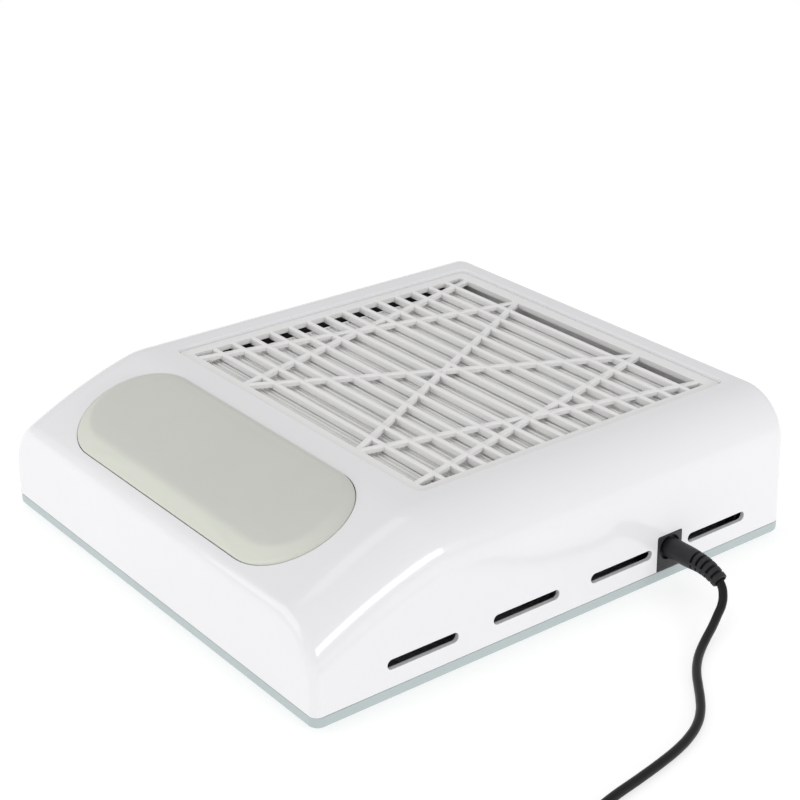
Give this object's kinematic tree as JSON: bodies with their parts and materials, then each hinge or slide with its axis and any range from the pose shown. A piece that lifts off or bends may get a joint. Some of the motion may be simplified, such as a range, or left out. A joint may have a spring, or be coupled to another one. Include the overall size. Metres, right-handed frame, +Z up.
{
  "type": "nail dust collector",
  "caption": "Desktop nail dust collector with a padded hand rest on its sloping front, a slatted lift-out filter cartridge, a centrifugal fan and side outlet slots.",
  "frame": {"origin": "on the table under the middle of the case, at the feet's underside", "axes": "+X to the right of the person whose hand rests on the pad, -Y towards that person, +Z up"},
  "size_m": [0.5461, 0.3226, 0.0794],
  "materials": {
    "tray_teal": "satin pale teal",
    "case_white": "high-gloss injection-moulded white",
    "foot": "matte black",
    "screw": "zinc-plated",
    "pad_backing": "moulded grey",
    "pad": "smooth pale-grey polyurethane skin over foam",
    "grille": "satin warm white",
    "filter_paper": "folded filter paper",
    "filter_frame": "satin warm white",
    "deck": "moulded black",
    "guard": "plated wire",
    "impeller": "moulded grey",
    "motor_steel": "plated pressed steel",
    "shaft": "ground steel",
    "winding": "enamelled copper windings",
    "board": "solder-masked board",
    "terminal": "moulded green",
    "capacitor": "sleeved can",
    "black_plastic": "fine moulded grain",
    "contact": "plated",
    "rocker": "semi-gloss black",
    "wire_red": "insulated wire",
    "wire_black": "insulated wire",
    "plug_metal": "nickel-plated",
    "plug_black": "moulded matte black",
    "cord_black": "smooth black PVC"
  },
  "bodies": {
    "case": {"base_tray": "tray_teal", "top_cover": "case_white", "foot_front_left": "foot", "foot_front_right": "foot", "foot_back_left": "foot", "foot_back_right": "foot", "case_screw_front_left": "screw", "case_screw_front_right": "screw", "case_screw_back_left": "screw", "case_screw_back_right": "screw", "pad_backing": "pad_backing", "hand_rest_pad": "pad", "fan_deck": "deck", "inlet_guard": "guard", "deck_screw_front_left": "screw", "deck_screw_front_right": "screw", "deck_screw_back_left": "screw", "deck_screw_back_right": "screw", "motor_stator": "winding", "motor_bracket": "motor_steel", "bracket_screw_right_back": "screw", "bracket_screw_left_back": "screw", "bracket_screw_left_front": "screw", "bracket_screw_right_front": "screw", "control_board": "board", "board_terminal": "terminal", "board_capacitor": "capacitor", "board_screw_near": "screw", "board_screw_far": "screw", "power_inlet": "black_plastic", "inlet_contact": "contact", "switch_body": "black_plastic", "inlet_wire_plus": "wire_red", "inlet_wire_minus": "wire_black", "motor_wire_plus": "wire_red", "motor_wire_minus": "wire_black", "switch_wire_a": "wire_red", "switch_wire_b": "wire_black"},
    "filter_cartridge": {"filter_grille": "grille", "filter_media": "filter_paper", "filter_tray": "filter_frame"},
    "fan_rotor": {"fan_impeller": "impeller", "motor_can": "motor_steel", "motor_shaft": "shaft"},
    "rocker": {"switch_rocker": "rocker"},
    "power_lead": {"plug_barrel": "plug_metal", "plug_handle": "plug_black", "plug_sleeve": "cord_black", "power_cord": "cord_black", "cord_coil": "cord_black", "adapter_cord": "cord_black", "adapter_sleeve": "cord_black", "adapter_body": "black_plastic", "adapter_pin_a": "contact", "adapter_pin_b": "contact"}
  },
  "joints": [
    {"name": "filter_lift", "type": "slide", "parent": "case", "child": "filter_cartridge", "axis": [0, 0, 1], "range_m": [0, 0.05]},
    {"name": "fan_spin", "type": "hinge", "parent": "case", "child": "fan_rotor", "pos_m": [0, 0.0332, 0.02], "axis": [0, 0, 1], "continuous": true},
    {"name": "switch_rock", "type": "hinge", "parent": "case", "child": "rocker", "pos_m": [-0.1296, 0.0637, 0.024], "axis": [0, 1, 0], "range_deg": [0, 14]},
    {"name": "plug_pull", "type": "slide", "parent": "case", "child": "power_lead", "axis": [1, 0, 0], "range_m": [0, 0.012]}
  ]
}
